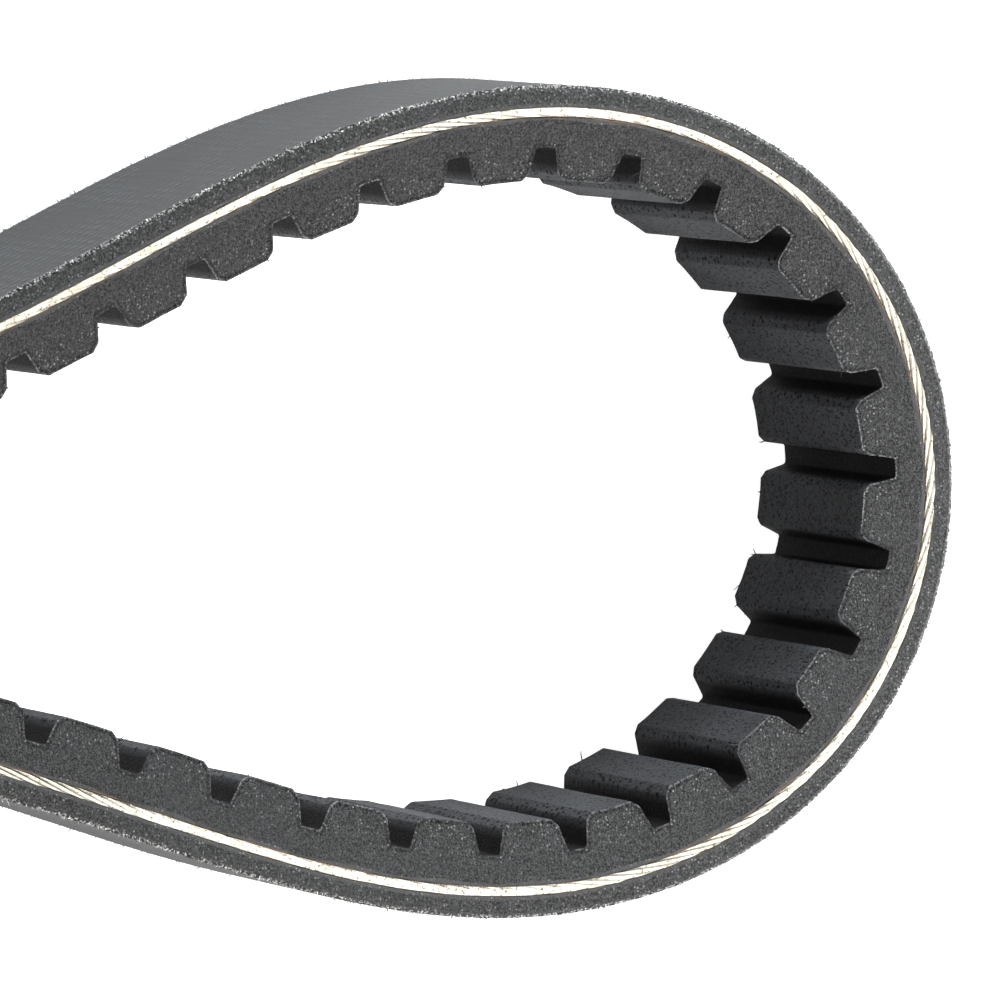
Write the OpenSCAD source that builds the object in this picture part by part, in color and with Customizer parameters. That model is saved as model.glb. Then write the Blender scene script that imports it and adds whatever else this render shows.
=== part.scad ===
// Raw-edge cogged variable-speed V-belt, lying on one flank edge as a closed, relaxed loop.
// X runs along the loop, Z up across the belt's width. The origin is at the middle of the loop, on the floor.
// Every ply is a band: a closed strip that follows the cord line at a constant depth.
// Depth is measured from the cord line: negative towards the back, positive towards the cogs.

/* [Belt] */
// Number of cogs round the loop, a multiple of four
cog_count = 80; // [64:4:112]
// Cog pitch along the cord line
cog_pitch = 9.5; // [9:0.5:11]
// Width at the overcord, the belt's widest place
belt_w = 23.2; // [20:0.2:26]
// Angle of each flank from the belt's centre plane
flank_angle = 13; // [11:1:15]

/* [Plies] */
// Thickness of the woven backing ply
backing_t = 0.55; // [0.4:0.05:0.8]
// How far each edge of the backing ply is bevelled in at the back
edge_bevel = 0.4; // [0.2:0.05:0.5]
// Thickness of the overcord rubber
overcord_t = 1.1; // [0.8:0.1:1.4]
// Thickness of each adhesion gum ply
gum_t = 0.25; // [0.2:0.05:0.4]
// Diameter of the tensile cord
cord_d = 1.1; // [0.9:0.05:1.2]
// Number of cord strands side by side across the width
cord_count = 16; // [14:1:18]
// Depth of the notch floor below the cord line
notch_depth = 3.2; // [2.8:0.1:3.5]
// Height of the cogs above the notch floor
cog_h = 3; // [2.6:0.1:3.2]
// Thickness of the facing fabric over the cogs
facing_t = 0.4; // [0.3:0.05:0.5]

/* [Cog shape] */
// Width of the flat notch floor
notch_floor_w = 2; // [1.8:0.1:2.2]
// Angle of the notch wall from the belt's thickness direction
wall_angle = 15; // [12:1:18]
// Radius at the crown corner of the cog
crown_r = 1.5; // [1.2:0.1:1.6]

/* [Loop shape] */
// Swing of the heading that narrows the loop to a waist, in degrees
wave_1 = 62.8; // [55:0.1:64]
// Second harmonic of the heading, in degrees
wave_2 = 11.6; // [8:0.1:12]
// Third harmonic of the heading, in degrees
wave_3 = -3.8; // [-4:0.1:0]
// Fourth harmonic of the heading, in degrees
wave_4 = 0.9; // [0:0.1:2]

/* [Hidden] */

belt_length = cog_count * cog_pitch;
quarter_length = belt_length / 4;

// Depths of the surfaces between the plies
cord_top = -cord_d / 2;
cord_bottom = cord_d / 2;
gum_top = cord_top - gum_t;
gum_bottom = cord_bottom + gum_t;
overcord_top = gum_top - overcord_t;
back_depth = overcord_top - backing_t;

// The bands are drawn as chains of equal chords, this many to a cog
chords_per_cog = 2;
chord_count = cog_count * chords_per_cog;
chord_length = cog_pitch / chords_per_cog;
// Steps of the cord line's integration inside one chord
steps_per_chord = 8;
step_length = chord_length / steps_per_chord;

// Direction of travel at distance s from the middle of the +X round end
function heading(s) =
    let (turn = 180 * s / quarter_length)
    90 + turn / 2 + wave_1 * sin(turn) + wave_2 * sin(2 * turn) + wave_3 * sin(3 * turn) + wave_4 * sin(4 * turn);

// The cord line, by the midpoint rule from the middle of the +X round end
cord_line_raw = [
    for (
        i = 0, p = [0, 0];
        i <= chord_count * steps_per_chord;
        a = heading((i + 0.5) * step_length), p = p + step_length * [cos(a), sin(a)], i = i + 1
    )
    if (i % steps_per_chord == 0) p
];
loop_centre = cord_line_raw[chord_count / 2] / 2;

function wrap(k) = (k + 2 * chord_count) % chord_count;
function station(k) = cord_line_raw[wrap(k)] - loop_centre;
// Unit vector from the cord line towards the inside of the loop at a station
function inward(k) = let (a = heading(wrap(k) * chord_length)) [-sin(a), cos(a)];
function station_at(k, depth) = station(k) + depth * inward(k);

// Plan position at distance s along the cord line and a depth below it
function plan_point(s, depth) =
    let (
        along = s / chord_length + chord_count,
        k = floor(along),
        part = along - k
    )
    station_at(k, depth) * (1 - part) + station_at(k + 1, depth) * part;

// Half of the belt's width at a depth. The overcord's edges are square, so that the belt stands on one of them;
// the flanks start under it, and the backing ply is bevelled.
function half_width(depth) =
    belt_w / 2
    - max(0, depth - gum_top) * tan(flank_angle)
    - max(0, overcord_top - depth) * edge_bevel / backing_t;

// A closed strip between two surfaces, each given as a list of [distance along the cord line, depth]
module band(outer, inner) {
    n = len(outer);
    points = [
        for (i = [0:n - 1])
        let (
            po = plan_point(outer[i][0], outer[i][1]),
            pi = plan_point(inner[i][0], inner[i][1]),
            zo = half_width(outer[i][1]),
            zi = half_width(inner[i][1])
        )
        each [
            [po[0], po[1], belt_w / 2 + zo],
            [po[0], po[1], belt_w / 2 - zo],
            [pi[0], pi[1], belt_w / 2 - zi],
            [pi[0], pi[1], belt_w / 2 + zi]
        ]
    ];
    faces = [
        for (i = [0:n - 1], j = [0:3])
        let (
            here = 4 * i,
            there = 4 * ((i + 1) % n),
            next = (j + 1) % 4
        )
        [here + j, here + next, there + next, there + j]
    ];
    polyhedron(points = points, faces = faces, convexity = 12);
}

// A strip of constant thickness between two depths
function even_surface(depth) = [for (k = [0:chord_count - 1]) [k * chord_length, depth]];
module ply(top_depth, bottom_depth) {
    band(even_surface(top_depth), even_surface(bottom_depth));
}

// Half of one notch outline, from its floor corner to the crown of the next cog, as [distance from the notch's
// middle, depth]. "offset" moves the outline into the rubber, for the surface under the facing fabric.
function half_notch(offset) =
    let (
        floor_depth = notch_depth - offset,
        crown_depth = notch_depth + cog_h - offset,
        crown = crown_r - offset,
        floor_corner = notch_floor_w / 2 + offset * tan((90 - wall_angle) / 2),
        // The crown arc turns through this angle from the wall to the crown
        turn = 90 - wall_angle,
        wall_h = cog_h - crown * (1 - cos(turn)),
        wall_end = [floor_corner + wall_h * tan(wall_angle), floor_depth + wall_h],
        crown_centre = [wall_end[0] + crown * sin(turn), crown_depth - crown]
    )
    [
        [floor_corner, floor_depth],
        wall_end,
        crown_centre + crown * [-sin(turn / 2), cos(turn / 2)],
        [crown_centre[0], crown_depth]
    ];

// The whole cogged surface: one mirrored notch outline after another
function cogged_surface(offset) =
    let (half = half_notch(offset), last = len(half) - 1)
    [
        for (cog = [0:cog_count - 1])
        let (middle = cog * cog_pitch)
        each concat(
            [for (i = [last:-1:0]) [middle - half[i][0], half[i][1]]],
            [for (i = [0:last]) [middle + half[i][0], half[i][1]]]
        )
    ];

// The same stations along the loop, at one depth
function level_with(surface, depth) = [for (p = surface) [p[0], depth]];

module backing_fabric() {
    color([0.33, 0.34, 0.35]) ply(back_depth, overcord_top);
}

module overcord_rubber() {
    color([0.22, 0.22, 0.23]) ply(overcord_top, gum_top);
}

module upper_adhesion_gum() {
    color([0.16, 0.12, 0.09]) ply(gum_top, cord_top);
}

module lower_adhesion_gum() {
    color([0.25, 0.24, 0.23]) ply(cord_bottom, gum_bottom);
}

// Strands lie side by side at equal spacing across the width that the flanks leave at the cord's top
strand_w = 2 * half_width(cord_top) / cord_count;

function two_digits(i) = str(i < 10 ? "0" : "", i);
function cord_name(i) = str("tensile_cord_", two_digits(i));

// Ring of the loop's plan between two depths
module plan_ring(top_depth, bottom_depth) {
    difference() {
        polygon([for (k = [0:chord_count - 1]) station_at(k, top_depth)]);
        polygon([for (k = [0:chord_count - 1]) station_at(k, bottom_depth)]);
    }
}

// One strand of the tensile cord; strand 1 lies on the lower flank and the last one on the upper flank
module tensile_cord(i) {
    color([0.87, 0.84, 0.76])
    if (i == 1 || i == cord_count) edge_cord(i == 1 ? 0 : 1);
    else translate([0, 0, belt_w / 2 - half_width(cord_top) + (i - 1) * strand_w])
        linear_extrude(strand_w) plan_ring(cord_top, cord_bottom);
}

// An edge strand is cut off slantwise by the flank
module edge_cord(side) {
    inner_edge = half_width(cord_top) - strand_w;
    stations = [for (k = [0:chord_count - 1]) k];
    points = [
        for (k = stations)
        let (
            po = station_at(k, cord_top),
            pi = station_at(k, cord_bottom)
        )
        each [
            [po[0], po[1], half_width(cord_top)],
            [po[0], po[1], inner_edge],
            [pi[0], pi[1], inner_edge],
            [pi[0], pi[1], half_width(cord_bottom)]
        ]
    ];
    faces = [
        for (i = stations, j = [0:3])
        let (
            here = 4 * i,
            there = 4 * ((i + 1) % chord_count),
            next = (j + 1) % 4
        )
        [here + j, here + next, there + next, there + j]
    ];
    translate([0, 0, belt_w / 2])
    mirror([0, 0, 1 - side])
        polyhedron(points = points, faces = faces, convexity = 12);
}

module undercord_rubber() {
    inner = cogged_surface(facing_t);
    color([0.24, 0.25, 0.26]) band(level_with(inner, gum_bottom), inner);
}

module cog_facing_fabric() {
    color([0.17, 0.17, 0.18]) band(cogged_surface(facing_t), cogged_surface(0));
}

backing_fabric();
overcord_rubber();
upper_adhesion_gum();
for (i = [1:cord_count]) {
    tensile_cord(i);
}
lower_adhesion_gum();
undercord_rubber();
cog_facing_fabric();
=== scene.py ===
# Looks of a raw-edge cogged V-belt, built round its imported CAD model.
# Lengths are in mm until place() turns them into metres in the row frame. A place on the belt is
# s along the cord line, a depth from the cord line towards the inside, and a height z.
import math

import bpy
import numpy as np
from mathutils import Matrix, Vector


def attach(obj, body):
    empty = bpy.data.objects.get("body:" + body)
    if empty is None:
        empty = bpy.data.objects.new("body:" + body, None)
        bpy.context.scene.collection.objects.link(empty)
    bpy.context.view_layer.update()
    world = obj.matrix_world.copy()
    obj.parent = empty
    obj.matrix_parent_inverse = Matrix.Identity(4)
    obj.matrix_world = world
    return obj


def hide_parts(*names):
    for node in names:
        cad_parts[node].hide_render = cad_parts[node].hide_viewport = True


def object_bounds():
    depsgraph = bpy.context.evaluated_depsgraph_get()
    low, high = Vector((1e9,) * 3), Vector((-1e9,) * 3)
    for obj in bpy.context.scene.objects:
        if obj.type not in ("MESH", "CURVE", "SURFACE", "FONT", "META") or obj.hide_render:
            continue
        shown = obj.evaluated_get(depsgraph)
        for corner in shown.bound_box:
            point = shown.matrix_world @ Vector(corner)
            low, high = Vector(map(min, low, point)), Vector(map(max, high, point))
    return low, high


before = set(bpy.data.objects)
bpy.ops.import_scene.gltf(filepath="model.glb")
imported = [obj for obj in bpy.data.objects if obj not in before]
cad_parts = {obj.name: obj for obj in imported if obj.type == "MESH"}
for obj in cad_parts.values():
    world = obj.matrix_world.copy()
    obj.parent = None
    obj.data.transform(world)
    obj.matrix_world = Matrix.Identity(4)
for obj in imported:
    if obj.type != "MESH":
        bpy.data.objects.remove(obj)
cad_low, cad_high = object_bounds()

# Driving sizes of the belt, as in its CAD source
COG_COUNT = 80
PITCH = 9.5
BELT_W = 23.2
FLANK = math.tan(math.radians(13))
BACKING_T = 0.55
EDGE_BEVEL = 0.4
OVERCORD_T = 1.1
GUM_T = 0.25
CORD_D = 1.1
CORD_COUNT = 16
NOTCH_DEPTH = 3.2
COG_H = 3.0
FACING_T = 0.4
NOTCH_FLOOR_W = 2.0
WALL = math.radians(15)
CROWN_R = 1.5
WAVES = (62.8, 11.6, -3.8, 0.9)

# What only the visual model has: shapes, counts, and the tones of cut rubber
ROOT_R = 0.3
CROWN_FILLET = 0.32
CORD_LAY = 11.5
CORD_PLIES = 5
EDGE_CORD_R = 0.415
EDGE_CORD_SINK = 0.14
STATIONS_PER_COG = 40
CORD_STATIONS_PER_COG = 46
FRINGE_PER_COG = 40
LOOSE_THREADS = 420
CREASE = math.radians(42)
CUT_TONE = 0.0102
OVERCORD_TONE = 0.012

LENGTH = COG_COUNT * PITCH
GUM_TOP = -CORD_D / 2 - GUM_T
GUM_BOTTOM = CORD_D / 2 + GUM_T
OVERCORD_TOP = GUM_TOP - OVERCORD_T
BACK = OVERCORD_TOP - BACKING_T
MIDDLE = BELT_W / 2

rng = np.random.default_rng(20)


# ---- the loop ----


def heading(s):
    turn = math.pi * np.asarray(s) / (LENGTH / 4)
    waves = sum(math.radians(w) * np.sin((i + 1) * turn) for i, w in enumerate(WAVES))
    return math.pi / 2 + turn / 2 + waves


STEPS = COG_COUNT * 160
line_s = np.linspace(0, LENGTH, STEPS + 1)
line_mid = heading((line_s[:-1] + line_s[1:]) / 2)
line_x = np.concatenate([[0], np.cumsum(np.cos(line_mid))]) * LENGTH / STEPS
line_y = np.concatenate([[0], np.cumsum(np.sin(line_mid))]) * LENGTH / STEPS
line_x -= line_x[STEPS // 2] / 2
line_y -= line_y[STEPS // 2] / 2
middle = (cad_low + cad_high) / 2


def place(s, depth, z):
    """Row-frame points, in metres, from s, depth and z in mm."""
    s, depth, z = np.broadcast_arrays(s, depth, z)
    turn = heading(s)
    x = np.interp(s % LENGTH, line_s, line_x) - depth * np.sin(turn)
    y = np.interp(s % LENGTH, line_s, line_y) + depth * np.cos(turn)
    shift = np.array([middle.x, middle.y, cad_low.z])
    return np.stack([x, y, z], axis=-1) * 0.001 + shift


def half_width(depth):
    """Half the belt's width at a depth: sloping flanks inside, bevelled backing outside."""
    flank = np.maximum(0, np.asarray(depth) - GUM_TOP) * FLANK
    bevel = np.maximum(0, OVERCORD_TOP - np.asarray(depth)) * EDGE_BEVEL / BACKING_T
    return BELT_W / 2 - flank - bevel


def wander(s, period, seed):
    """A smooth random curve between about -1 and 1 that closes on itself round the belt."""
    knots = max(4, round(LENGTH / period))
    values = np.random.default_rng(seed).uniform(-1, 1, knots)
    t = np.asarray(s) / LENGTH * knots
    k = np.floor(t).astype(int)
    part = t - k
    part = part * part * (3 - 2 * part)
    return values[k % knots] * (1 - part) + values[(k + 1) % knots] * part


# ---- meshes ----


def to_mesh(name, points, quads, corner_uv=None, values=None):
    mesh = bpy.data.meshes.new(name)
    mesh.vertices.add(len(points))
    mesh.vertices.foreach_set("co", points.astype(np.float32).ravel())
    mesh.loops.add(quads.size)
    mesh.loops.foreach_set("vertex_index", quads.astype(np.int32).ravel())
    mesh.polygons.add(len(quads))
    mesh.polygons.foreach_set("loop_start", np.arange(0, quads.size, 4, dtype=np.int32))
    mesh.update(calc_edges=True)
    if corner_uv is not None:
        layer = mesh.uv_layers.new(name="belt")
        layer.data.foreach_set("uv", corner_uv.astype(np.float32).ravel())
    for key, numbers in (values or {}).items():
        attribute = mesh.attributes.new(key, "FLOAT", "POINT")
        attribute.data.foreach_set("value", numbers.astype(np.float32).ravel())
    mesh.polygons.foreach_set("use_smooth", np.ones(len(quads), bool))
    mesh.set_sharp_from_angle(angle=CREASE)
    mesh.validate()
    piece = bpy.data.objects.new(name, mesh)
    bpy.context.scene.collection.objects.link(piece)
    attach(piece, "root")
    return piece


def signed_volume(points, quads):
    a, b, c, d = (points[quads[:, i]] for i in range(4))
    return np.einsum("ij,ij->i", a, np.cross(b, c) + np.cross(c, d)).sum()


def sweep(name, s, depth, z, values=None, along=None):
    """A closed skin round the loop. s, depth and z are stations by points round the section."""
    s, depth, z = np.broadcast_arrays(s, depth, z)
    stations, around = depth.shape
    points = place(s, depth, z).reshape(-1, 3)
    i, j = np.meshgrid(np.arange(stations), np.arange(around), indexing="ij")
    here, ahead = i * around, (i + 1) % stations * around
    beside = (j + 1) % around
    quads = np.stack([here + j, ahead + j, ahead + beside, here + beside], axis=-1).reshape(-1, 4)
    if along is None:
        along = s[:, 0]
    along = np.append(along, along[0] + LENGTH) * 0.001
    gap = np.hypot(np.diff(depth[0], append=depth[0, 0]), np.diff(z[0], append=z[0, 0]))
    across = np.concatenate([[0], np.cumsum(gap)]) * 0.001
    uv = np.stack(
        [
            np.stack([along[i], across[j]], -1),
            np.stack([along[i + 1], across[j]], -1),
            np.stack([along[i + 1], across[j + 1]], -1),
            np.stack([along[i], across[j + 1]], -1),
        ],
        axis=2,
    ).reshape(-1, 4, 2)
    if signed_volume(points, quads) < 0:
        quads, uv = quads[:, ::-1], uv[:, ::-1]
    return to_mesh(name, points, quads, uv, values)


def threads(name, base, way, bend, length, radius, sides=4, rings=4, tint=None):
    """One mesh of many short tapered threads, each from its base along way, bending towards bend."""
    count = len(base)
    t = np.linspace(0, 1, rings)[None, :, None]
    length = np.broadcast_to(length, count)[:, None, None]
    spine = base[:, None] + length * (t * way[:, None] + t**2 * bend[:, None])
    ahead = way[:, None] + 2 * t * bend[:, None]
    ahead = ahead / np.linalg.norm(ahead, axis=-1, keepdims=True)
    helper = np.where(np.abs(ahead[..., 2:]) > 0.8, [1.0, 0.0, 0.0], [0.0, 0.0, 1.0])
    one = np.cross(ahead, helper)
    one /= np.linalg.norm(one, axis=-1, keepdims=True)
    two = np.cross(ahead, one)
    angle = np.arange(sides) * 2 * math.pi / sides
    radius = np.broadcast_to(radius, count)[:, None, None] * (1 - 0.55 * t**2)
    round_it = np.cos(angle)[:, None] * one[:, :, None] + np.sin(angle)[:, None] * two[:, :, None]
    points = spine[:, :, None] + radius[..., None] * round_it
    first = (np.arange(count) * rings * sides)[:, None, None]
    ring, corner = np.meshgrid(np.arange(rings - 1), np.arange(sides), indexing="ij")
    here = ring * sides
    beside = (corner + 1) % sides
    wall = np.stack([here + corner, here + beside, here + sides + beside, here + sides + corner], -1)
    body = (first[..., None] + wall).reshape(-1, 4)
    last = (rings - 1) * sides
    caps = first[:, 0] + np.array([[3, 2, 1, 0, last, last + 1, last + 2, last + 3]])
    quads = np.concatenate([body, caps.reshape(-1, 4)])
    points = points.reshape(-1, 3)
    if signed_volume(points, quads) < 0:
        quads = quads[:, ::-1]
    tint = rng.uniform(0, 1, count) if tint is None else tint
    return to_mesh(name, points, quads, None, {"tint": np.repeat(tint, rings * sides)})


# ---- materials ----


def add(tree, kind, inputs=None, **settings):
    node = tree.nodes.new("ShaderNode" + kind)
    for key, value in settings.items():
        setattr(node, key, value)
    for key, value in (inputs or {}).items():
        if isinstance(value, bpy.types.NodeSocket):
            tree.links.new(value, node.inputs[key])
        else:
            node.inputs[key].default_value = value
    return node


def grey(value, red=1.0, green=1.0, blue=1.0):
    return (value * red, value * green, value * blue, 1.0)


def noise(tree, where, size, detail=2.0, rough=0.5):
    """Noise whose features are about size mm across."""
    inputs = {"Vector": where, "Scale": 1000 / size, "Detail": detail, "Roughness": rough}
    return add(tree, "TexNoise", inputs).outputs["Fac"]


def ramp(tree, value, low, high, to_low=0.0, to_high=1.0):
    inputs = {"Value": value, 1: low, 2: high, 3: to_low, 4: to_high}
    return add(tree, "MapRange", inputs).outputs[0]


def maths(tree, operation, a, b=0.0):
    return add(tree, "Math", {0: a, 1: b}, operation=operation).outputs[0]


def mix(tree, share, a, b):
    node = add(tree, "Mix", {0: share}, data_type="RGBA")
    for socket, value in ((node.inputs[6], a), (node.inputs[7], b)):
        if isinstance(value, bpy.types.NodeSocket):
            tree.links.new(value, socket)
        else:
            socket.default_value = value
    return node.outputs[2]


def new_material(name):
    material = bpy.data.materials.new(name)
    material.use_nodes = True
    tree = material.node_tree
    return material, tree, tree.nodes["Principled BSDF"]


def finish_surface(tree, shader, colour, rough, height, distance):
    tree.links.new(colour, shader.inputs["Base Color"])
    tree.links.new(rough, shader.inputs["Roughness"])
    bump = add(tree, "Bump", {"Height": height, "Distance": distance * 0.001, "Strength": 1.0})
    tree.links.new(bump.outputs["Normal"], shader.inputs["Normal"])


def rubber_look(tree, where, base, grains, tip_glint=None):
    """Colour, roughness and height of cut rubber filled with short fibres: a salt-and-pepper grain whose
    pale specks are partly painted glints.
    """
    inputs = {"Vector": where, "Scale": 5200.0, "Detail": 2.0, "Roughness": 0.6, "Distortion": 0.6}
    fine = add(tree, "TexNoise", inputs).outputs["Fac"]
    wide = noise(tree, where, 1.8, 3.0, 0.6)
    patch = noise(tree, where, 14.0, 2.0, 0.5)
    low, high = grey(base * 0.12, 1.0, 1.0, 1.05), grey(base * 2.3, 0.98, 1.0, 1.02)
    colour = mix(tree, ramp(tree, fine, 0.41, 0.61), low, high)
    colour = mix(tree, ramp(tree, wide, 0.35, 0.75, 0.0, 0.35), colour, grey(base * 0.5))
    colour = mix(tree, ramp(tree, patch, 0.35, 0.7, 0.0, 0.3), colour, grey(base * 1.5, 0.97, 1.0, 1.04))
    # Pale specks: partly fibre ends, partly painted glints.
    cells = add(tree, "TexVoronoi", {"Vector": where, "Scale": 3300.0, "Randomness": 1.0})
    speck_and_glint = ramp(tree, cells.outputs["Distance"], 0.14, 0.4, 1.0, 0.0)
    chosen = add(tree, "SeparateColor", {0: cells.outputs["Color"]}).outputs[0]
    chosen = ramp(tree, chosen, 1 - grains, 1.0, 0.0, 1.0)
    speck_and_glint = maths(tree, "MULTIPLY", speck_and_glint, chosen)
    # The tip mask makes the painted glints stronger towards the cog tips, where the light grazes.
    if tip_glint is not None:
        speck_and_glint = maths(tree, "MULTIPLY", speck_and_glint, tip_glint)
    colour = mix(tree, speck_and_glint, colour, grey(0.135, 0.98, 1.0, 1.0))
    rough = ramp(tree, fine, 0.35, 0.65, 0.75, 0.5)
    height = maths(tree, "ADD", fine, maths(tree, "MULTIPLY", speck_and_glint, 0.3))
    return colour, rough, height


def rubber_material(name, base, grains, gloss=0.16):
    material, tree, shader = new_material(name)
    where = add(tree, "TexCoord").outputs["Object"]
    tip_glint = add(tree, "Attribute", attribute_name="tip_glint").outputs["Fac"]
    colour, rough, height = rubber_look(tree, where, base, grains, tip_glint)
    finish_surface(tree, shader, colour, rough, height, 0.22)
    shader.inputs["Specular IOR Level"].default_value = gloss
    return material


def backing_material():
    """Woven backing cloth with rubber rubbed into it, and its pale cut edge."""
    material, tree, shader = new_material("backing_fabric")
    uv = add(tree, "UVMap", uv_map="belt").outputs[0]
    where = add(tree, "TexCoord").outputs["Object"]
    edge = add(tree, "Attribute", attribute_name="edge").outputs["Fac"]
    bent = add(tree, "TexNoise", {"Vector": uv, "Scale": 220.0, "Detail": 3.0}).outputs["Color"]
    bent = add(tree, "VectorMath", {0: bent, 1: (0.0022, 0.0022, 0.0)}, operation="MULTIPLY").outputs[0]
    warped = add(tree, "VectorMath", {0: uv, 1: bent}, operation="ADD").outputs[0]
    waves = []
    for way in "XY":
        inputs = {"Vector": warped, "Scale": 250.0, "Distortion": 0.0}
        waves.append(add(tree, "TexWave", inputs, bands_direction=way).outputs["Fac"])
    weave = maths(tree, "MULTIPLY", waves[0], waves[1])
    fine = noise(tree, where, 0.3, 3.0, 0.65)
    cloud = noise(tree, where, 5.0, 4.0, 0.6)
    stretch = add(tree, "Mapping", {0: uv, "Scale": (0.04, 1.0, 1.0)}).outputs[0]
    streak = noise(tree, stretch, 0.8, 2.0, 0.6)
    dark, light = grey(0.005, 0.95, 1.0, 1.08), grey(0.031, 0.96, 1.0, 1.06)
    colour = mix(tree, ramp(tree, fine, 0.35, 0.68), dark, light)
    shown = ramp(tree, cloud, 0.4, 0.62, 0.05, 0.5)
    weave_share = maths(tree, "MULTIPLY", ramp(tree, weave, 0.15, 0.75), shown)
    colour = mix(tree, weave_share, colour, grey(0.062, 0.96, 1.0, 1.05))
    colour = mix(tree, ramp(tree, cloud, 0.38, 0.66, 0.0, 0.5), colour, grey(0.021, 0.95, 1.0, 1.08))
    colour = mix(tree, ramp(tree, streak, 0.5, 0.8, 0.0, 0.25), colour, grey(0.018))
    colour = mix(tree, edge, colour, rubber_look(tree, where, CUT_TONE, 0.5)[0])
    cells = add(tree, "TexVoronoi", {"Vector": where, "Scale": 3600.0}).outputs["Distance"]
    dot = ramp(tree, cells, 0.2, 0.5, 1.0, 0.0)
    rim = add(tree, "Attribute", attribute_name="rim").outputs["Fac"]
    colour = mix(tree, maths(tree, "MULTIPLY", rim, dot), colour, grey(0.34, 1.0, 0.99, 0.96))
    rough = ramp(tree, fine, 0.3, 0.7, 0.65, 0.9)
    threads_up = maths(tree, "MULTIPLY", weave_share, 1.2)
    height = maths(tree, "ADD", threads_up, maths(tree, "MULTIPLY", fine, 0.7))
    finish_surface(tree, shader, colour, rough, height, 0.16)
    shader.inputs["Specular IOR Level"].default_value = 0.2
    shader.inputs["Sheen Weight"].default_value = 0.06
    return material


def facing_material():
    """Rubber-coated cloth moulded over the cogs."""
    material, tree, shader = new_material("cog_facing")
    where = add(tree, "TexCoord").outputs["Object"]
    rim = add(tree, "Attribute", attribute_name="rim").outputs["Fac"]
    flank = add(tree, "Attribute", attribute_name="flank").outputs["Fac"]
    crown = add(tree, "Attribute", attribute_name="crown").outputs["Fac"]
    fine = noise(tree, where, 0.22, 3.0, 0.7)
    leather = noise(tree, where, 0.7, 2.0, 0.5)
    cloud = noise(tree, where, 6.0, 2.0, 0.5)
    dark, light = grey(0.001, 1.0, 1.0, 1.1), grey(0.007, 1.0, 1.0, 1.1)
    colour = mix(tree, ramp(tree, fine, 0.3, 0.72), dark, light)
    uv = add(tree, "UVMap", uv_map="belt").outputs[0]
    slant = add(tree, "Mapping", {0: uv, 2: (0.0, 0.0, 0.5), "Scale": (1.0, 0.55, 1.0)}).outputs[0]
    inputs = {"Vector": slant, "Scale": 2000.0, "Randomness": 0.8}
    cells = add(tree, "TexVoronoi", inputs, voronoi_dimensions="2D")
    pit = ramp(tree, cells.outputs["Distance"], 0.16, 0.34, 1.0, 0.0)
    pit = maths(tree, "MULTIPLY", pit, ramp(tree, leather, 0.4, 0.6, 0.0, 0.85))
    # Painted light: the crowns, and their chamfers most of all, are lightened to look lit, mottled by
    # fine noise.
    crown_painted_light = maths(tree, "MULTIPLY", crown, ramp(tree, fine, 0.38, 0.58, 0.15, 1.0))
    colour = mix(tree, maths(tree, "MULTIPLY", crown_painted_light, 0.85), colour, grey(0.056, 0.95, 1.0, 1.09))
    colour = mix(tree, maths(tree, "MULTIPLY", pit, crown), colour, grey(0.002))
    colour = mix(tree, ramp(tree, cloud, 0.45, 0.75, 0.0, 0.25), colour, grey(0.014))
    colour = mix(tree, flank, colour, rubber_look(tree, where, CUT_TONE, 0.5)[0])
    # A thin pale line along the cut edges: partly frayed cloth, partly a painted edge highlight.
    frayed = maths(tree, "MULTIPLY", rim, ramp(tree, fine, 0.45, 0.6))
    colour = mix(tree, frayed, colour, grey(0.15))
    rough = ramp(tree, fine, 0.3, 0.7, 0.5, 0.8)
    height = maths(tree, "SUBTRACT", fine, maths(tree, "MULTIPLY", pit, crown))
    finish_surface(tree, shader, colour, rough, height, 0.15)
    shader.inputs["Specular IOR Level"].default_value = 0.06
    return material


def gum_material():
    """Adhesion gum: smooth grey, with painted shade in the groove beside the cut cord, and stained brown
    where it meets the cord.
    """
    material, tree, shader = new_material("adhesion_gum")
    where = add(tree, "TexCoord").outputs["Object"]
    close = add(tree, "Attribute", attribute_name="close").outputs["Fac"]
    fine = noise(tree, where, 0.16, 2.0, 0.6)
    wide = noise(tree, where, 5.0, 2.0, 0.5)
    colour = rubber_look(tree, where, CUT_TONE, 0.4)[0]
    smooth = mix(tree, ramp(tree, fine, 0.35, 0.65), grey(0.009), grey(0.022, 1.0, 0.99, 0.97))
    colour = mix(tree, ramp(tree, close, 0.1, 0.45, 0.25, 1.0), colour, smooth)
    # Painted shade: near-black where the gum draws in to a groove beside the cut cord.
    lip = maths(tree, "MULTIPLY", ramp(tree, close, 0.42, 0.7), ramp(tree, wide, 0.3, 0.45))
    colour = mix(tree, lip, colour, (0.012, 0.009, 0.007, 1.0))
    rust = maths(tree, "MULTIPLY", ramp(tree, wide, 0.5, 0.6), ramp(tree, close, 0.5, 0.9))
    colour = mix(tree, rust, colour, (0.07, 0.042, 0.025, 1.0))
    rough = ramp(tree, fine, 0.3, 0.7, 0.5, 0.8)
    finish_surface(tree, shader, colour, rough, fine, 0.1)
    shader.inputs["Specular IOR Level"].default_value = 0.25
    return material


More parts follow.
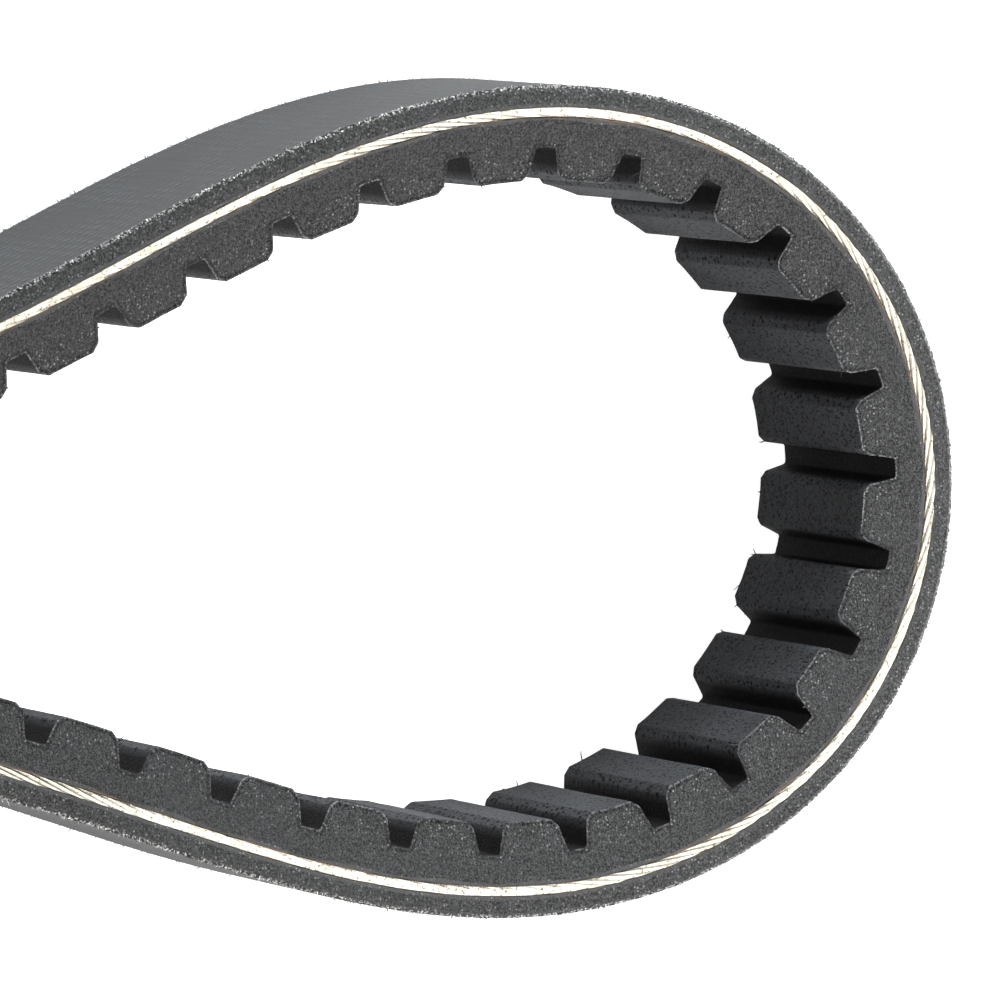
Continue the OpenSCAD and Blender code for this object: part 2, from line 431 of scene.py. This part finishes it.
def cord_material():
    """Undyed polyester cord, cut open along the flank."""
    material, tree, shader = new_material("tensile_cord")
    where = add(tree, "TexCoord").outputs["Object"]
    gap = add(tree, "Attribute", attribute_name="gap").outputs["Fac"]
    rim = add(tree, "Attribute", attribute_name="rim").outputs["Fac"]
    lay = add(tree, "Attribute", attribute_name="lay").outputs["Fac"]
    fine = noise(tree, where, 0.12, 2.0, 0.6)
    wide = noise(tree, where, 1.6, 3.0, 0.6)
    fibre = ramp(tree, maths(tree, "SINE", maths(tree, "MULTIPLY", lay, 34.0)), -1.0, 1.0)
    colour = mix(tree, ramp(tree, wide, 0.35, 0.6), (0.32, 0.295, 0.235, 1.0), (0.45, 0.43, 0.365, 1.0))
    colour = mix(tree, maths(tree, "MULTIPLY", fibre, 0.15), colour, (0.24, 0.22, 0.17, 1.0))
    # Brighter flecks on the fibres: painted highlights.
    colour = mix(tree, ramp(tree, fine, 0.58, 0.72, 0.0, 0.6), colour, (0.54, 0.52, 0.455, 1.0))
    nick = ramp(tree, noise(tree, where, 0.3, 1.0, 0.5), 0.31, 0.39, 0.85, 0.0)
    colour = mix(tree, nick, colour, (0.06, 0.048, 0.035, 1.0))
    # Painted shade in the gaps between the plies.
    ply_gap_shade = maths(tree, "MULTIPLY", gap, ramp(tree, fine, 0.3, 0.55, 0.8, 1.1))
    colour = mix(tree, ply_gap_shade, colour, (0.035, 0.028, 0.02, 1.0))
    # A dark brown line along the cord's ragged edges beside the gum.
    edge_brown_line = maths(tree, "MULTIPLY", rim, ramp(tree, fine, 0.35, 0.55))
    colour = mix(tree, edge_brown_line, colour, (0.05, 0.032, 0.018, 1.0))
    rough = ramp(tree, fine, 0.3, 0.7, 0.6, 0.85)
    finish_surface(tree, shader, colour, rough, fine, 0.1)
    shader.inputs["Specular IOR Level"].default_value = 0.3
    return material


def thread_material(name, dark, light):
    """Fibre that runs from dark to light by each thread's own tint."""
    material, tree, shader = new_material(name)
    where = add(tree, "TexCoord").outputs["Object"]
    tint = add(tree, "Attribute", attribute_name="tint").outputs["Fac"]
    fine = noise(tree, where, 0.15, 2.0, 0.5)
    share = maths(tree, "MULTIPLY", tint, ramp(tree, fine, 0.3, 0.6, 0.5, 1.0))
    colour = mix(tree, share, dark, light)
    rough = ramp(tree, fine, 0.3, 0.7, 0.6, 0.9)
    finish_surface(tree, shader, colour, rough, fine, 0.05)
    shader.inputs["Specular IOR Level"].default_value = 0.2
    return material


def give(piece, material, slot, *nodes):
    piece.data.materials.clear()
    piece.data.materials.append(material)
    if nodes:
        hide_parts(*nodes)


# ---- backing ply ----

STATIONS = COG_COUNT * STATIONS_PER_COG
s_even = np.arange(STATIONS)[:, None] * LENGTH / STATIONS


def grain(shape, size, seed):
    """Vertex-sized unevenness, smoothed once round the loop."""
    raw = np.random.default_rng(seed).normal(0, size, shape)
    return 0.5 * raw + 0.25 * np.roll(raw, 1, 0) + 0.25 * np.roll(raw, -1, 0)


def make_backing():
    """The woven ply: its back face, and bevelled edges where the cloth is cut."""
    half = half_width(BACK)
    inside = np.linspace(2.2, 2 * half - 2.2, 9)
    near = np.array([0.06, 0.2, 0.45, 0.8, 1.3])
    face_z = np.concatenate([near, inside, 2 * half - near[::-1]]) - half
    edge_share = np.array([0.06, 0.3, 0.55, 0.8, 1.0])
    edge_depth = BACK + BACKING_T * edge_share
    edge_z = half_width(edge_depth)
    faces, edges = len(face_z), 2 * len(edge_z)
    depth = np.concatenate([np.full(faces, BACK), edge_depth, edge_depth[::-1]])
    z = np.concatenate([face_z, edge_z, -edge_z[::-1]])
    depth = np.tile(depth, (STATIONS, 1))
    z = np.tile(z, (STATIONS, 1))
    depth[:, :faces] += np.abs(grain((STATIONS, faces), 0.02, 1))
    sides = np.arange(faces, faces + edges)
    for part, sign, seed in ((sides[:4], 1, 2), (sides[6:], -1, 5)):
        pull = 0.04 * wander(s_even, 0.8, seed) + 0.03 * wander(s_even, 3.0, seed + 1)
        z[:, part] += sign * (pull + grain((STATIONS, 4), 0.05, seed + 2))
        depth[:, part] += grain((STATIONS, 4), 0.03, seed + 3)
    z[:, faces - 1] += 0.03 * wander(s_even[:, 0], 0.8, 12) - 0.02
    z[:, 0] -= 0.03 * wander(s_even[:, 0], 0.8, 13) - 0.02
    from_edge = half - np.abs(face_z)
    edge = np.concatenate([np.clip(1.0 - 5.0 * from_edge, 0, 1), np.ones(edges)])
    frayed = np.array([1.0, 0.8, 0.35, 0.0, 0.0])
    rim = np.concatenate([np.clip(1.5 - 6.0 * from_edge, 0, 1), frayed, frayed[::-1]])
    values = {"edge": np.tile(edge, (STATIONS, 1)), "rim": np.tile(rim, (STATIONS, 1))}
    piece = sweep("backing_cloth", s_even, depth, MIDDLE + z, values)
    give(piece, backing_material(), "backing_fabric", "backing_fabric")


def make_overcord():
    """The rubber between the backing and the upper gum."""
    rows = np.linspace(OVERCORD_TOP, GUM_TOP, 7)
    depth = np.concatenate([rows, rows[::-1]])
    z = np.concatenate([MIDDLE + half_width(rows), MIDDLE - half_width(rows[::-1])])
    depth = np.tile(depth, (STATIONS, 1))
    z = np.tile(z, (STATIONS, 1)) + grain((STATIONS, len(depth[0])), 0.03, 17)
    # The overcord's pale specks at a fixed 0.8 share: partly painted glints.
    values = {"tip_glint": np.full(depth.shape, 0.8)}
    piece = sweep("overcord", s_even, depth, z, values)
    material = rubber_material("overcord_rubber", OVERCORD_TONE, 0.5)
    give(piece, material, "overcord_rubber", "overcord_rubber")


def gum_wave(s):
    """The lower gum was pressed thicker under each cog than under each notch."""
    return -0.12 * np.cos(2 * math.pi * np.asarray(s) / PITCH) + 0.04 * wander(s, 7.0, 90)


def make_gums():
    """The gum each side of the cord line, drawn in to a lip beside the cut cord."""
    material = gum_material()
    for name, sign, seed in (("upper_gum", -1, 8), ("lower_gum", 1, 9)):
        rows = np.array([CORD_D / 2 + GUM_T, 0.6, 0.45, 0.4, 0.28, CORD_D / 2 + 0.01]) * sign
        sink = np.array([0.0, 0.01, 0.03, 0.12, 0.5, 1.2])
        lip = [0.42, 1.0] if sign > 0 else [0.0, 0.5]
        # Close rises to 1 towards the cut cord. In the gum's colour it places painted shade in the groove
        # and a brown stain.
        close = np.array([0.0, *lip, 1.0, 1.0, 1.0])
        ragged = grain((STATIONS, 6), 0.03, seed)
        depth = np.tile(rows, (STATIONS, 1))
        if sign > 0:
            depth[:, 0] += gum_wave(s_even[:, 0])
        depth[:, 1:4] += sign * 0.05 * np.clip(wander(s_even, 1.3, seed + 20), -0.6, 1)
        out = half_width(depth) - sink + ragged
        depth = np.concatenate([depth, depth[:, ::-1]], axis=1)
        z = np.concatenate([MIDDLE + out, MIDDLE - out[:, ::-1]], axis=1)
        values = {"close": np.tile(np.concatenate([close, close[::-1]]), (STATIONS, 1))}
        piece = sweep(name, s_even, depth, z, values)
        node = "upper_adhesion_gum" if sign < 0 else "lower_adhesion_gum"
        give(piece, material, "adhesion_gum", node)


def make_edge_cords():
    """The two strands that the flanks cut open: five twisted plies, trimmed flush."""
    material = cord_material()
    points = 26
    stations = COG_COUNT * CORD_STATIONS_PER_COG
    s = np.arange(stations)[:, None] * LENGTH / stations
    turns = round(LENGTH / CORD_LAY)
    # Angle 0 faces out of the flank, and the points crowd there
    u = np.linspace(-1, 1, points, endpoint=False)[None, :]
    angle = math.pi * (0.6 * u + 0.4 * u**3)
    for node, side, seed in (("tensile_cord_16", 1, 30), ("tensile_cord_01", -1, 60)):
        twist = -side * (2 * math.pi * turns * s / LENGTH + 0.35 * wander(s, 9, seed))
        lobe = np.cos(CORD_PLIES * (angle - twist))
        loose = np.clip(0.35 + 0.7 * wander(s, 23, seed + 7), 0.08, 0.85)
        size = EDGE_CORD_R + 0.015 * wander(s, 7, seed + 1) + 0.025 * wander(s, 1.7, seed + 10)
        radius = size + 0.04 * loose * lobe + grain((stations, points), 0.014, seed + 2)
        sink = EDGE_CORD_SINK + 0.04 * wander(s, 19, seed + 3) + 0.04 * wander(s, 5, seed + 4)
        shift = 0.03 * wander(s, 11, seed + 5)
        depth = radius * np.sin(angle) + shift
        out = half_width(depth) - sink + radius * np.cos(angle)
        # Valley: where the plies part. It sinks the surface, and in the cord's colour it places painted
        # shade, deeper towards the cog side.
        valley = np.clip(-3.6 * lobe - 1.9, 0, 1) * loose
        valley = valley * (0.5 + 0.5 * np.clip((depth + 0.2) / 0.4, 0, 1))
        limit = half_width(depth) + 0.03 + grain((stations, points), 0.016, seed + 6)
        limit = limit - 0.07 * (1 - lobe) * loose - 0.2 * valley
        out = np.minimum(out, limit)
        nibble = 0.05 * wander(s, 1.1, seed + 11)
        inner = np.clip((depth - shift - 0.26 + nibble - 0.1 * lobe) / 0.06, 0, 1)
        inner = inner * (0.8 + 0.4 * wander(s, 7, seed + 8))
        outer = np.clip((shift - depth - 0.38) / 0.07, 0, 1)
        outer = outer * (0.3 + 0.5 * wander(s, 17, seed + 9))
        values = {"gap": valley, "rim": inner + outer, "lay": angle - twist}
        piece = sweep(node.replace("tensile", "edge"), s, depth, MIDDLE + side * out, values)
        give(piece, material, "tensile_cord", node)
    for i in range(2, CORD_COUNT):
        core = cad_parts[f"tensile_cord_{i:02d}"]
        core.data.materials.clear()
        core.data.materials.append(material)


# ---- cogs ----


def polar(centre, distance, degrees):
    turn = math.radians(degrees)
    return (centre[0] + distance * math.cos(turn), centre[1] + distance * math.sin(turn))


def arc(centre, radius, start, end, count):
    return [polar(centre, radius, degrees) for degrees in np.linspace(start, end, count)]


def half_notch(offset):
    """Half a pitch of the cogged surface, from mid notch to just before mid cog: s and depth.

    The wall ends in a chamfer with a small fillet at each end, in place of the crown's round corner.
    """
    floor_depth = NOTCH_DEPTH - offset
    crown_depth = NOTCH_DEPTH + COG_H - offset
    crown = CROWN_R - offset
    turn = math.pi / 2 - WALL
    corner = NOTCH_FLOOR_W / 2 + offset * math.tan(turn / 2)
    cutback = ROOT_R * math.tan(turn / 2)
    wall_h = COG_H - crown * (1 - math.cos(turn))
    wall_end = (corner + wall_h * math.tan(WALL), floor_depth + wall_h)
    crown_centre = (wall_end[0] + crown * math.sin(turn), crown_depth - crown)
    out = [(t * (corner - cutback) / 3, floor_depth) for t in range(3)]
    root_centre = (corner - cutback, floor_depth + ROOT_R)
    out += arc(root_centre, ROOT_R, -90, -90 + math.degrees(turn), 4)
    start = out[-1]
    for t in (0.25, 0.5, 0.75):
        out.append(tuple(start[k] + t * (wall_end[k] - start[k]) for k in range(2)))
    fillet = CROWN_FILLET * crown
    reach = (crown - fillet) / math.cos(turn / 4)
    wall_side, chamfer_side = 180 - math.degrees(WALL), 90 + math.degrees(turn) / 2
    for first, last in ((wall_side, chamfer_side), (chamfer_side, 90)):
        centre = polar(crown_centre, reach, (first + last) / 2)
        out += arc(centre, fillet, first, last, 4)
    for t in (0.3, 0.65):
        out.append((crown_centre[0] + t * (PITCH / 2 - crown_centre[0]), crown_depth))
    return np.array(out)


def cogged_line(offset):
    """The cogged surface round the whole loop, offset mm inside the facing's outer face."""
    half = half_notch(offset)
    crown_depth = NOTCH_DEPTH + COG_H - offset
    one = np.concatenate([half[:0:-1] * [-1, 1], half])
    one = np.concatenate([one, [[PITCH / 2, crown_depth]]])
    s = np.concatenate([one[:, 0] + k * PITCH for k in range(COG_COUNT)])
    depth = np.tile(one[:, 1], COG_COUNT)
    return s, depth


def make_facing():
    """The cogged skin: its inner face, and its cut thickness on both flanks."""
    s_out, depth_out = cogged_line(0)
    s_in, depth_in = cogged_line(FACING_T)
    stations = len(s_out)
    share = np.array([-1, -0.985, -0.95, -0.88, -0.76, -0.6, -0.4, -0.2])
    share = np.concatenate([share, [0], -share[::-1]])
    faces = len(share)
    height = (depth_out - NOTCH_DEPTH) / COG_H
    # Crown mask: places the leather pits, and lightens the crowns with painted light. The band near 0.82
    # of the cog height is a painted highlight on the chamfers.
    crown = np.clip((height - 0.6) / 0.12, 0, 1)
    crown += 0.4 * np.clip(1 - np.abs(height - 0.82) / 0.18, 0, 1)
    soft = grain((stations, faces), 0.012, 70)
    dip = 0.03 * wander(s_out[:, None], 3.1, 71) * np.cos(share * 4)[None, :]
    depth = depth_out[:, None] + soft + dip
    z = MIDDLE + half_width(depth_out)[:, None] * share[None, :]
    z[:, :1] -= 0.05 * np.abs(grain((stations, 1), 1.0, 72))
    z[:, -1:] += 0.05 * np.abs(grain((stations, 1), 1.0, 73))
    s = np.tile(s_out[:, None], (1, faces))
    s_part = s_out * 0.55 + s_in * 0.45
    depth_part = depth_out * 0.55 + depth_in * 0.45
    s = np.column_stack([s, s_part, s_in, s_in, s_part])
    depth = np.column_stack([depth, depth_part, depth_in, depth_in, depth_part])
    half_part, half_in = half_width(depth_part), half_width(depth_in)
    z = np.column_stack([z, MIDDLE + half_part, MIDDLE + half_in, MIDDLE - half_in, MIDDLE - half_part])
    flank = np.zeros(depth.shape)
    flank[:, faces:] = 1
    rim = np.zeros(depth.shape)
    # Where the pale line runs along the cut edges, broken along the loop: partly frayed cloth, partly a
    # painted edge highlight.
    rim[:, [0, faces - 1]] = 0.5 + 0.5 * wander(s_out[:, None], 4.0, 76)
    crown = np.tile(crown[:, None], (1, depth.shape[1]))
    values = {"flank": flank, "rim": rim, "crown": crown}
    piece = sweep("cog_facing", s, depth, z, values, along=s_out)
    give(piece, facing_material(), "cog_facing", "cog_facing_fabric")


def make_undercord():
    """The rubber between the lower gum and the cogged skin."""
    s_in, depth_in = cogged_line(FACING_T)
    rows = 10
    t = np.linspace(0, 1, rows)[None, :]
    first = GUM_BOTTOM + gum_wave(s_in)[:, None]
    depth = first + (depth_in[:, None] - first) * t
    out = half_width(depth) + grain(depth.shape, 0.02, 80)
    low = half_width(depth) + grain(depth.shape, 0.02, 81)
    depth = np.column_stack([depth, depth[:, ::-1]])
    z = np.column_stack([MIDDLE + out, MIDDLE - low[:, ::-1]])
    s = np.tile(s_in[:, None], (1, 2 * rows))
    # Tip mask: the rubber's pale specks grow stronger towards the cog tips, a painted glint where the
    # light grazes.
    values = {"tip_glint": np.clip((depth - 1.0) / 4.0, 0.25, 1)}
    piece = sweep("undercord", s, depth, z, values, along=s_in)
    material = rubber_material("undercord_rubber", CUT_TONE, 0.5)
    give(piece, material, "undercord_rubber", "undercord_rubber")


# ---- threads at the cut edges ----


def directions(s, out_depth, out_z, along):
    """Unit vectors from shares along the loop, towards the inside and up."""
    turn = heading(s)
    way = np.stack(
        [
            along * np.cos(turn) - out_depth * np.sin(turn),
            along * np.sin(turn) + out_depth * np.cos(turn),
            out_z + 0 * turn,
        ],
        axis=-1,
    )
    return way / np.linalg.norm(way, axis=-1, keepdims=True)


def make_fringe():
    """Short pale ends of cloth thread that stand out of both cut edges of the backing."""
    count = COG_COUNT * FRINGE_PER_COG
    for name, top, seed in (("backing_fringe_upper", 1, 100), ("backing_fringe_lower", -1, 101)):
        draw = np.random.default_rng(seed)
        s = (np.arange(count) + draw.uniform(-0.3, 0.3, count)) * LENGTH / count
        depth = BACK + draw.uniform(0.02, 0.3, count)
        z = MIDDLE + top * (half_width(depth) - 0.03)
        base = place(s, depth, z)
        inward = draw.uniform(-0.9, -0.1, count)
        up = top * draw.uniform(0.5, 1.0, count)
        way = directions(s, inward, up, draw.uniform(-0.6, 0.6, count))
        inward = draw.uniform(-1, 0.6, count)
        up = top * draw.uniform(-0.6, 0.6, count)
        bend = directions(s, inward, up, draw.uniform(-1, 1, count)) * 0.35
        length = (0.16 + 0.2 * draw.uniform(0, 1, count) + 0.35 * draw.uniform(0, 1, count) ** 20) * 0.001
        radius = draw.uniform(0.04, 0.08, count) * 0.001
        tint = draw.uniform(0, 1, count) ** 0.8
        piece = threads(name, base, way, bend, length, radius, tint=tint)
        give(piece, thread_material(name, grey(0.015), grey(0.55, 1.0, 0.99, 0.95)), "backing_fabric")


def make_loose_threads():
    """A few dark fibres pulled out of the facing where the cogs are cut."""
    draw = np.random.default_rng(200)
    count = LOOSE_THREADS
    cog = draw.integers(0, COG_COUNT, count)
    upper = draw.integers(0, 2, count) * 2 - 1
    half = half_notch(0)
    spot = half[draw.integers(8, len(half), count)]
    mirror = draw.integers(0, 2, count) * 2 - 1
    s = spot[:, 0] * mirror + cog * PITCH
    depth = spot[:, 1] - 0.05
    z = MIDDLE + upper * (half_width(depth) - 0.1)
    base = place(s, depth, z)
    inward = draw.uniform(-0.2, 1.0, count)
    up = upper * draw.uniform(0.3, 1.0, count)
    way = directions(s, inward, up, draw.uniform(-1, 1, count))
    inward = draw.uniform(-0.5, 1, count)
    up = upper * draw.uniform(-1, 0.3, count)
    bend = directions(s, inward, up, draw.uniform(-1, 1, count)) * 0.5
    length = (0.3 + 0.9 * draw.uniform(0, 1, count) ** 5) * 0.001
    radius = draw.uniform(0.03, 0.08, count) * 0.001
    piece = threads("cog_edge_threads", base, way, bend, length, radius, rings=6)
    give(piece, thread_material("cog_edge_threads", grey(0.004), grey(0.02)), "cog_facing")


make_backing()
make_overcord()
make_gums()
make_edge_cords()
make_undercord()
make_facing()
make_fringe()
make_loose_threads()

# ---- floor, light and camera ----


def make_floor():
    mesh = bpy.data.meshes.new("floor")
    reach = 6.0
    z = cad_low.z - 0.0005
    corners = [(-reach, -reach, z), (reach, -reach, z), (reach, reach, z), (-reach, reach, z)]
    mesh.from_pydata(corners, [], [(0, 1, 2, 3)])
    floor = bpy.data.objects.new("floor", mesh)
    bpy.context.scene.collection.objects.link(floor)
    material, tree, shader = new_material("floor")
    where = add(tree, "TexCoord").outputs["Object"]
    cloud = noise(tree, where, 60.0)
    tree.links.new(mix(tree, cloud, grey(0.4), grey(0.42)), shader.inputs["Base Color"])
    shader.inputs["Roughness"].default_value = 0.9
    shader.inputs["Specular IOR Level"].default_value = 0.0
    shader.inputs["Emission Color"].default_value = (1, 1, 1, 1)
    shader.inputs["Emission Strength"].default_value = 1.0
    mesh.materials.append(material)


def aim(thing, target, roll=0.0):
    back = (thing.location - target).normalized()
    turn = (-back).to_track_quat("-Z", "Y").to_matrix().to_4x4()
    thing.matrix_world = Matrix.Translation(thing.location) @ turn @ Matrix.Rotation(roll, 4, "Z")


def softbox(name, place_at, target, size, power, colour):
    lamp = bpy.data.lights.new(name, "AREA")
    lamp.shape = "RECTANGLE"
    lamp.size, lamp.size_y = size
    lamp.energy = power
    lamp.color = colour
    holder = bpy.data.objects.new(name, lamp)
    bpy.context.scene.collection.objects.link(holder)
    holder.location = place_at
    holder.visible_camera = False
    aim(holder, target)


def make_light():
    """A dim room with a white band at the horizon, a softbox on each side and a small one above."""
    world = bpy.data.worlds.new("studio")
    world.use_nodes = True
    tree = world.node_tree
    sky = tree.nodes["Background"]
    up = add(tree, "SeparateXYZ", {0: add(tree, "TexCoord").outputs["Generated"]}).outputs[2]
    level = ramp(tree, up, 0.1, 0.2, 1.0, 0.03)
    tree.links.new(level, sky.inputs[1])
    sky.inputs[0].default_value = (1.0, 1.0, 1.0, 1.0)
    bpy.context.scene.world = world
    target = Vector((0.7 * cad_high.x, middle.y, middle.z))
    far, near, above = Vector((0.3, 0.8, 0.27)), Vector((-0.02, -0.84, 0.33)), Vector((0.16, -0.03, 0.19))
    softbox("key_far_side", target + far, target, (0.6, 0.35), 23, (0.92, 0.97, 1.0))
    softbox("key_near_side", target + near, target, (0.6, 0.35), 18, (1.0, 0.98, 0.96))
    softbox("top", target + above, target, (0.1, 0.1), 2.1, (1.0, 1.0, 1.0))


def make_camera():
    """The photo's view, found by fitting a camera to the loop's outline and cogs."""
    data = bpy.data.cameras.new("camera")
    data.sensor_width = 36.0
    data.lens = 362.3
    distance = 0.9204
    camera = bpy.data.objects.new("camera", data)
    bpy.context.scene.collection.objects.link(camera)
    target = Vector((middle.x + 0.12845, middle.y - 0.00067, middle.z))
    azimuth, elevation, roll = (math.radians(v) for v in (-102.22, 62.81, -98.30))
    out = Vector((math.sin(azimuth), -math.cos(azimuth), 0)) * math.cos(elevation)
    out.z = math.sin(elevation)
    camera.location = target + out * distance
    aim(camera, target, -roll)
    data.clip_start, data.clip_end = 0.01, 50
    bpy.context.scene.camera = camera


make_floor()
make_light()
make_camera()
bpy.context.scene.view_settings.view_transform = "Standard"

bpy.context.view_layer.update()
